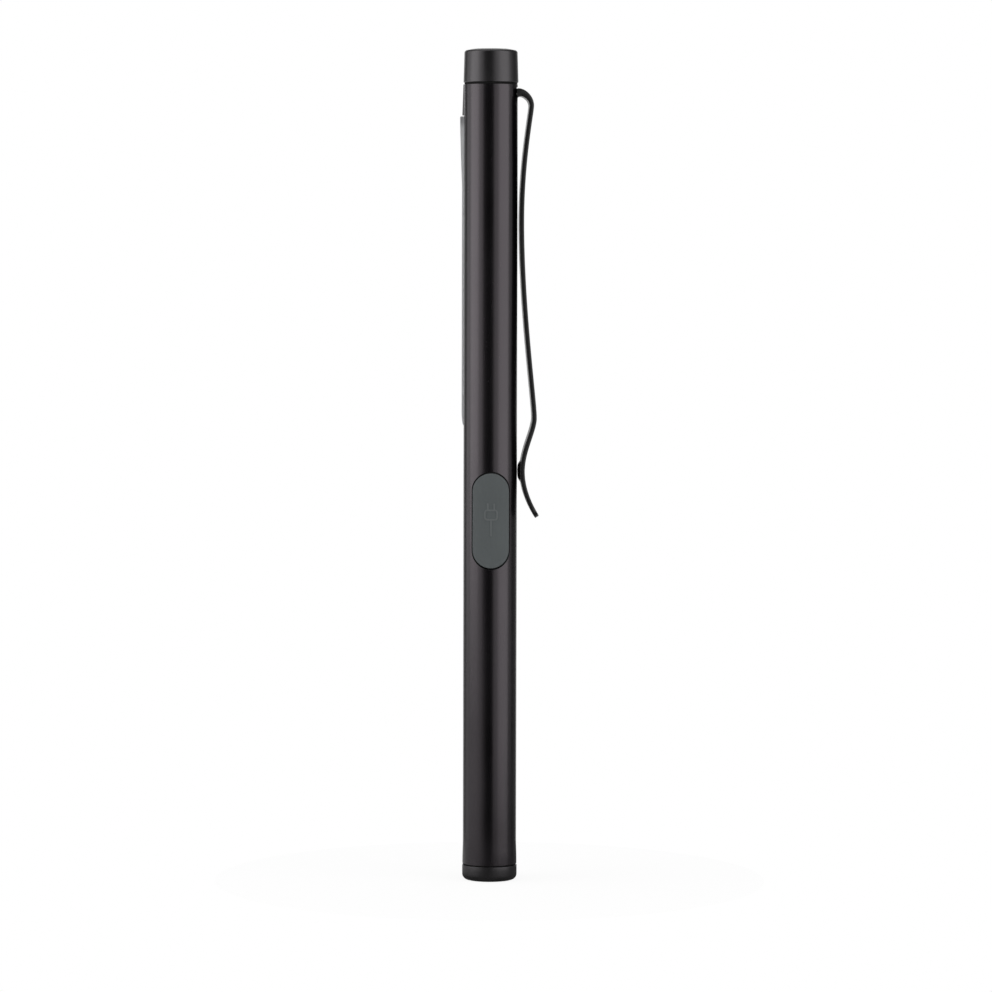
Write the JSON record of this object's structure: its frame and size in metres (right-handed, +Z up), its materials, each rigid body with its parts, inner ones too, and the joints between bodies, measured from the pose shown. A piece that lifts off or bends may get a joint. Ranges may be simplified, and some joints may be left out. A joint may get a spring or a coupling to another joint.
{
  "type": "handheld work light",
  "caption": "Slim pen-shaped rechargeable work light with a side light bar, a spot light in its head, a spring pocket clip, a covered charging socket and a magnetic tail.",
  "frame": {"origin": "centre of the tail cap's flat base", "axes": "+Z up the tube to the head, +X towards the pocket clip, -Y towards the charging socket's cover; the light bar faces 148 degrees round from +X towards +Y"},
  "size_m": [0.0173, 0.012, 0.1809],
  "materials": {
    "black_anodised": "black anodised, satin",
    "black_plastic": "moulded, fine satin",
    "spring_steel": "black coated spring steel, satin",
    "grey_rubber": "matt grey moulded rubber",
    "black_rubber": "matt black moulded rubber",
    "frosted_plastic": "frosted translucent",
    "clear_plastic": "clear, polished",
    "reflector_mirror": "metallised, bright",
    "white_board": "white solder mask",
    "green_board": "green solder mask",
    "led_phosphor": "yellow phosphor",
    "chip_black": "moulded, matt",
    "nickel": "nickel plated, satin",
    "socket_steel": "plated sheet steel, satin",
    "cell_wrap": "can in a plastic film wrap",
    "foam": "soft closed-cell foam, matt",
    "wire_red": "silicone insulation",
    "wire_black": "silicone insulation"
  },
  "bodies": {
    "body": {"body_tube": "black_anodised", "tail_cap": "black_plastic", "head_cap": "black_plastic", "strip_end_piece": "black_plastic", "chassis": "black_plastic", "spot_retainer": "black_plastic", "head_seal": "black_rubber", "tail_seal": "black_rubber", "strip_lens": "frosted_plastic", "spot_lens": "clear_plastic", "spot_reflector": "reflector_mirror", "strip_board": "white_board", "spot_board": "white_board", "main_board": "green_board", "spot_led": "led_phosphor", "charge_light": "led_phosphor", "strip_led_1": "led_phosphor", "strip_led_2": "led_phosphor", "strip_led_3": "led_phosphor", "strip_led_4": "led_phosphor", "strip_led_5": "led_phosphor", "strip_led_6": "led_phosphor", "strip_led_7": "led_phosphor", "strip_led_8": "led_phosphor", "charge_chip": "chip_black", "driver_chip": "chip_black", "switch_body": "chip_black", "usb_tongue": "chip_black", "battery_tab_top": "nickel", "battery_tab_side": "nickel", "tail_magnet": "nickel", "usb_socket": "socket_steel", "battery_cell": "cell_wrap", "battery_pad": "foam", "battery_wire_red": "wire_red", "spot_wire_red": "wire_red", "strip_wire_red": "wire_red", "battery_wire_black": "wire_black", "spot_wire_black": "wire_black", "strip_wire_black": "wire_black"},
    "clip": {"pocket_clip": "spring_steel"},
    "button": {"push_button": "black_rubber", "switch_plunger": "nickel"},
    "cover": {"usb_cover": "grey_rubber"}
  },
  "joints": [
    {"name": "clip_flex", "type": "hinge", "parent": "body", "child": "clip", "pos_m": [0.00543, 0, 0.1718], "axis": [0, -1, 0], "range_deg": [0, 4], "stiffness_Nm_per_rad": 2},
    {"name": "button_press", "type": "slide", "parent": "body", "child": "button", "axis": [0.848, -0.5299, 0], "range_m": [0, 0.0003], "stiffness_N_per_m": 3000},
    {"name": "cover_open", "type": "hinge", "parent": "body", "child": "cover", "pos_m": [0, -0.00583, 0.0685], "axis": [1, 0, 0], "range_deg": [0, 120], "stiffness_Nm_per_rad": 0.0002}
  ]
}
